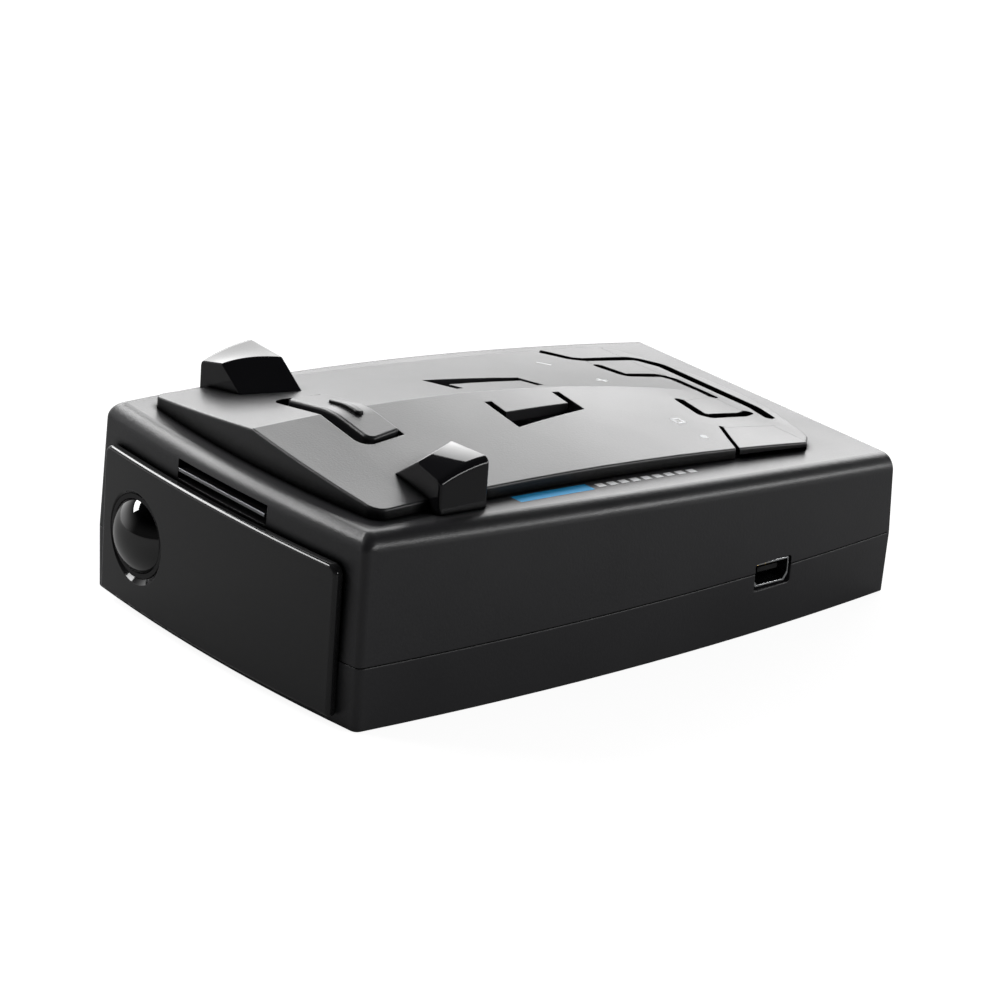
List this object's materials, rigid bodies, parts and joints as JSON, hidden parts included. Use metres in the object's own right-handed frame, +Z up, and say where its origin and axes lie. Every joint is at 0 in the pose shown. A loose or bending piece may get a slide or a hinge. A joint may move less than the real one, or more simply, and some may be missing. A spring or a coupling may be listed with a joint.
{
  "type": "radar detector",
  "caption": "Wedge-shaped dashboard radar detector with a domed laser lens, raised roof plate, side fins, release tab, sprung keys and a supply socket.",
  "frame": {"origin": "on the flat base, midway between the front and rear corners of the case and between its sides", "axes": "+X to the right-hand side with the supply socket, -Y towards the road (front window), +Z up"},
  "size_m": [0.0715, 0.1129, 0.0376],
  "materials": {
    "case_plastic": "fine textured black ABS",
    "plate_plastic": "satin textured black ABS",
    "gloss_black": "polished black",
    "window_panel": "polished smoked panel",
    "lens": "polished dark lens",
    "inner_plastic": "moulded",
    "spring_steel": "blackened spring steel",
    "socket_steel": "nickel plated",
    "circuit_board": "green solder mask",
    "chip": "moulded epoxy",
    "tinned_steel": "tinned",
    "screw_steel": "black zinc plated",
    "ribbon": "polyimide film",
    "die_cast": "die-cast zinc",
    "paper_cone": "pressed paper",
    "magnet": "ferrite",
    "speaker_cloth": "woven black cloth",
    "display_lens": "polished smoked lens"
  },
  "bodies": {
    "case": {"upper_shell": "case_plastic", "lower_shell": "case_plastic", "top_plate": "plate_plastic", "right_fin": "gloss_black", "left_fin": "gloss_black", "front_window": "window_panel", "lens_ring": "gloss_black", "laser_lens": "lens", "laser_sensor": "circuit_board", "bracket_guide": "inner_plastic", "bracket_spring": "spring_steel", "usb_shell": "socket_steel", "usb_insert": "inner_plastic", "main_board": "circuit_board", "main_chips": "chip", "shield_can": "tinned_steel", "case_screws": "screw_steel", "board_screws": "screw_steel", "key_board": "circuit_board", "key_switches": "inner_plastic", "key_ribbon": "ribbon", "horn_antenna": "die_cast", "mixer_block": "die_cast", "speaker_frame": "inner_plastic", "speaker_cone": "paper_cone", "speaker_magnet": "magnet", "speaker_cloth": "speaker_cloth", "display_window": "display_lens", "display_module": "inner_plastic"},
    "release_tab": {"release_tab": "plate_plastic"},
    "key_1": {"key_1": "plate_plastic"},
    "key_2": {"key_2": "plate_plastic"},
    "key_3": {"key_3": "plate_plastic"},
    "key_4": {"key_4": "plate_plastic"}
  },
  "joints": [
    {"name": "release_tab_press", "type": "hinge", "parent": "case", "child": "release_tab", "pos_m": [-0.001, -0.0303, 0.03275], "axis": [1, 0, 0], "range_deg": [0, 8], "stiffness_Nm_per_rad": 0.17},
    {"name": "key_1_press", "type": "hinge", "parent": "case", "child": "key_1", "pos_m": [-0.0222, 0.0405, 0.02511], "axis": [1, 0, 0], "range_deg": [0, 2], "stiffness_Nm_per_rad": 0.5},
    {"name": "key_2_press", "type": "hinge", "parent": "case", "child": "key_2", "pos_m": [-0.0134, 0.0405, 0.02511], "axis": [1, 0, 0], "range_deg": [0, 2], "stiffness_Nm_per_rad": 0.5},
    {"name": "key_3_press", "type": "hinge", "parent": "case", "child": "key_3", "pos_m": [0.008, 0.0405, 0.02511], "axis": [1, 0, 0], "range_deg": [0, 2], "stiffness_Nm_per_rad": 0.5},
    {"name": "key_4_press", "type": "hinge", "parent": "case", "child": "key_4", "pos_m": [0.0214, 0.0405, 0.02511], "axis": [1, 0, 0], "range_deg": [0, 2], "stiffness_Nm_per_rad": 0.5}
  ]
}
